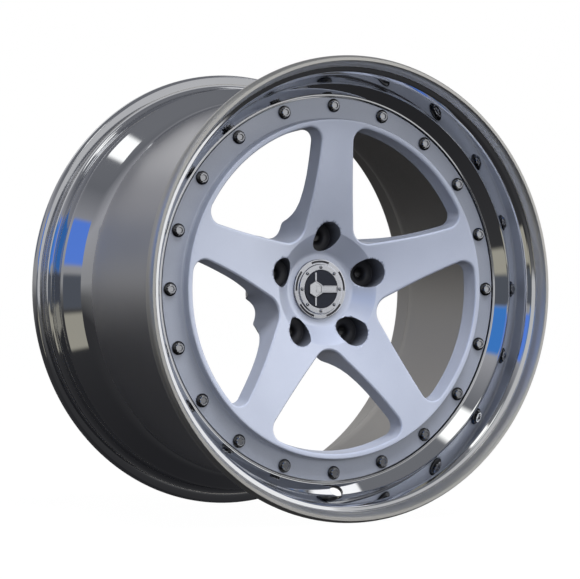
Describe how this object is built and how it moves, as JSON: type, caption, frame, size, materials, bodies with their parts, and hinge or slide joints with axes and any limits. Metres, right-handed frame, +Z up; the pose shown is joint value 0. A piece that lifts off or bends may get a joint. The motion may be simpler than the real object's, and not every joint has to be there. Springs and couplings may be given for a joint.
{
  "type": "three-piece forged wheel rim",
  "caption": "Deep-lip racing wheel rim: forged spoked centre bolted to a polished outer lip and an inner barrel, with a pull-off centre cap.",
  "frame": {"origin": "centre of the wheel, on its axis, halfway between the two flange faces", "axes": "+Y is the wheel's axis and points to the rear (hub side); the front faces -Y; +Z up, with the valve hole straight down"},
  "size_m": [0.4966, 0.298, 0.4966],
  "materials": {
    "lip_polish": "mirror polish, satin on the rolled edge",
    "barrel_finish": "fine turned, polished at the rear seat, satin in the well",
    "sealant": "cured matte bead",
    "disc_lacquer": "forged, silver lacquer with a clear gloss coat",
    "bolt_chrome": "bright chrome",
    "nut_zinc": "satin zinc",
    "cap_plastic": "moulded matte",
    "cap_silver": "satin anodised",
    "cap_carbon": "twill weave under clear resin",
    "cap_badge_silver": "machined, satin face",
    "cap_screw_steel": "bright steel",
    "spring_steel": "drawn wire"
  },
  "bodies": {
    "wheel": {"outer_lip": "lip_polish", "inner_barrel": "barrel_finish", "seal_ring": "sealant", "centre_disc": "disc_lacquer", "assembly_bolt_01": "bolt_chrome", "assembly_bolt_02": "bolt_chrome", "assembly_bolt_03": "bolt_chrome", "assembly_bolt_04": "bolt_chrome", "assembly_bolt_05": "bolt_chrome", "assembly_bolt_06": "bolt_chrome", "assembly_bolt_07": "bolt_chrome", "assembly_bolt_08": "bolt_chrome", "assembly_bolt_09": "bolt_chrome", "assembly_bolt_10": "bolt_chrome", "assembly_bolt_11": "bolt_chrome", "assembly_bolt_12": "bolt_chrome", "assembly_bolt_13": "bolt_chrome", "assembly_bolt_14": "bolt_chrome", "assembly_bolt_15": "bolt_chrome", "assembly_bolt_16": "bolt_chrome", "assembly_bolt_17": "bolt_chrome", "assembly_bolt_18": "bolt_chrome", "assembly_bolt_19": "bolt_chrome", "assembly_bolt_20": "bolt_chrome", "assembly_nut_01": "nut_zinc", "assembly_nut_02": "nut_zinc", "assembly_nut_03": "nut_zinc", "assembly_nut_04": "nut_zinc", "assembly_nut_05": "nut_zinc", "assembly_nut_06": "nut_zinc", "assembly_nut_07": "nut_zinc", "assembly_nut_08": "nut_zinc", "assembly_nut_09": "nut_zinc", "assembly_nut_10": "nut_zinc", "assembly_nut_11": "nut_zinc", "assembly_nut_12": "nut_zinc", "assembly_nut_13": "nut_zinc", "assembly_nut_14": "nut_zinc", "assembly_nut_15": "nut_zinc", "assembly_nut_16": "nut_zinc", "assembly_nut_17": "nut_zinc", "assembly_nut_18": "nut_zinc", "assembly_nut_19": "nut_zinc", "assembly_nut_20": "nut_zinc"},
    "centre_cap": {"cap_body": "cap_plastic", "cap_ring": "cap_silver", "cap_carbon_disc": "cap_carbon", "cap_badge": "cap_badge_silver", "cap_snap_ring": "spring_steel", "cap_screw_1": "cap_screw_steel", "cap_screw_2": "cap_screw_steel", "cap_screw_3": "cap_screw_steel", "cap_screw_4": "cap_screw_steel", "cap_screw_5": "cap_screw_steel", "cap_screw_6": "cap_screw_steel", "cap_screw_7": "cap_screw_steel", "cap_screw_8": "cap_screw_steel"}
  },
  "joints": [
    {"name": "cap_pull", "type": "slide", "parent": "wheel", "child": "centre_cap", "axis": [0, -1, 0], "range_m": [0, 0.045]}
  ]
}
